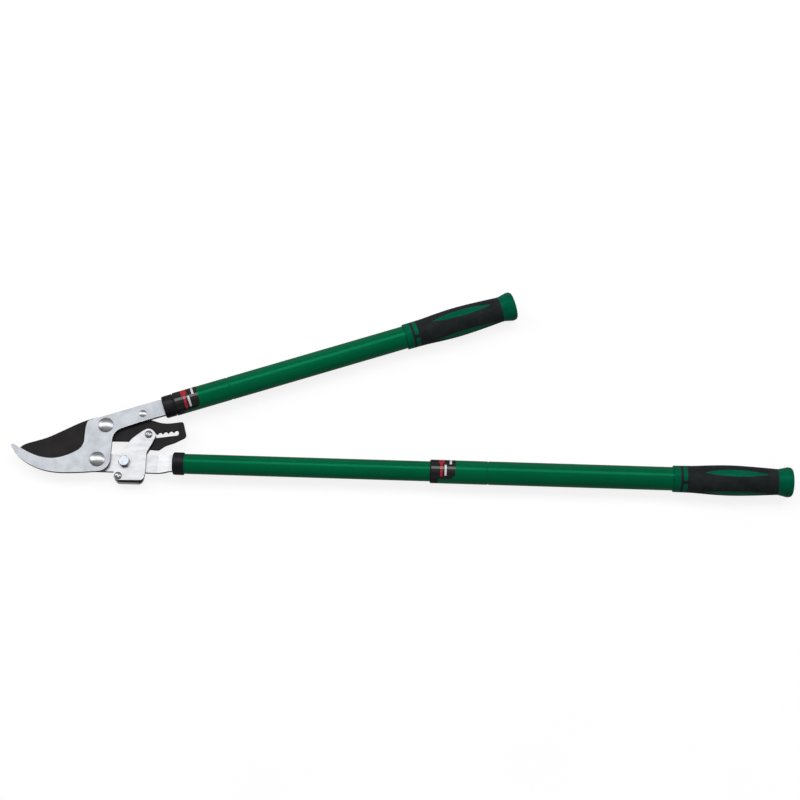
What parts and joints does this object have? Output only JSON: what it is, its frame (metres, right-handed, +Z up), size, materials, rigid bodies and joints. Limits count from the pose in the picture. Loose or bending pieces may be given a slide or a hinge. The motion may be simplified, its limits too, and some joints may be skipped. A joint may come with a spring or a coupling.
{
  "type": "bypass loppers",
  "caption": "Ratchet bypass loppers: curved hook plate, black coated blade with a notched tail, link bracket with a spring, and telescopic twist-lock tube handles with soft grips.",
  "frame": {"origin": "middle of the footprint, on the surface the loppers lie on", "axes": "+X along the lower handle from the head to its grip, +Y in the plane of the tool towards the upper handle, +Z up out of the surface"},
  "size_m": [0.985, 0.275, 0.0382],
  "materials": {
    "satin_plate": "fine satin nickel plate",
    "zinc_plate": "bright satin zinc plate",
    "bright_zinc": "polished zinc plate",
    "black_coat": "matte non-stick coating",
    "spring_wire": "oiled spring wire",
    "green_enamel": "gloss enamel",
    "black_plastic": "satin moulded",
    "label_film": "gloss printed film",
    "green_plastic": "semi-gloss moulded",
    "black_soft": "matte soft grip",
    "grey_nylon": "plain moulded"
  },
  "bodies": {
    "hook_body": {"hook_plate": "satin_plate", "blade_rivet": "bright_zinc", "handle_rivet": "bright_zinc", "pivot_washers": "bright_zinc", "stop_stud": "bright_zinc", "upper_ferrule": "black_plastic", "upper_tang_pin": "bright_zinc", "upper_inner_tube": "green_enamel", "upper_lock_plug": "grey_nylon"},
    "blade": {"cutting_blade": "black_coat"},
    "lower_arm": {"lower_strap": "zinc_plate", "spring_peg": "bright_zinc", "lower_ferrule": "black_plastic", "lower_tang_pin": "bright_zinc", "lower_inner_tube": "green_enamel", "lower_lock_plug": "grey_nylon"},
    "link": {"link_plate_front": "zinc_plate", "link_plate_rear": "zinc_plate", "link_bolt": "bright_zinc", "link_nut": "bright_zinc", "link_bush": "bright_zinc", "link_spring": "spring_wire", "link_screws": "bright_zinc", "link_screw_nuts": "bright_zinc", "link_spacer": "bright_zinc"},
    "upper_lock": {"upper_lock_ring": "grey_nylon"},
    "upper_grip": {"upper_outer_tube": "green_enamel", "upper_bushing": "black_plastic", "upper_label": "label_film", "upper_grip_core": "green_plastic", "upper_grip_soft": "black_soft"},
    "lower_lock": {"lower_lock_ring": "grey_nylon"},
    "lower_grip": {"lower_outer_tube": "green_enamel", "lower_bushing": "black_plastic", "lower_label": "label_film", "lower_grip_core": "green_plastic", "lower_grip_soft": "black_soft"}
  },
  "joints": [
    {"name": "handle_swing", "type": "hinge", "parent": "hook_body", "child": "lower_arm", "pos_m": [-0.38149, -0.11088, 0.0191], "axis": [0, 0, 1], "range_deg": [-55, 0]},
    {"name": "blade_swing", "type": "hinge", "parent": "hook_body", "child": "blade", "pos_m": [-0.37489, -0.06468, 0.0191], "axis": [0, 0, 1], "range_deg": [-34, 0]},
    {"name": "link_swing", "type": "hinge", "parent": "lower_arm", "child": "link", "pos_m": [-0.34719, -0.11268, 0.0191], "axis": [0, 0, 1], "range_deg": [0, 54.5]},
    {"name": "upper_twist", "type": "hinge", "parent": "hook_body", "child": "upper_lock", "pos_m": [-0.30377, -0.03787, 0.0191], "axis": [0.9421, 0.3355, 0], "range_deg": [0, 90]},
    {"name": "upper_slide", "type": "slide", "parent": "upper_lock", "child": "upper_grip", "axis": [0.9421, 0.3355, 0], "range_m": [0, 0.3095]},
    {"name": "lower_twist", "type": "hinge", "parent": "lower_arm", "child": "lower_lock", "pos_m": [-0.28549, -0.11288, 0.0191], "axis": [1, 0, 0], "range_deg": [0, 90]},
    {"name": "lower_slide", "type": "slide", "parent": "lower_lock", "child": "lower_grip", "axis": [1, 0, 0], "range_m": [-0.3095, 0]}
  ],
  "couplings": [
    {"joint": "blade_swing", "follows": "handle_swing", "ratio": 0.6055},
    {"joint": "link_swing", "follows": "handle_swing", "ratio": -0.98}
  ]
}
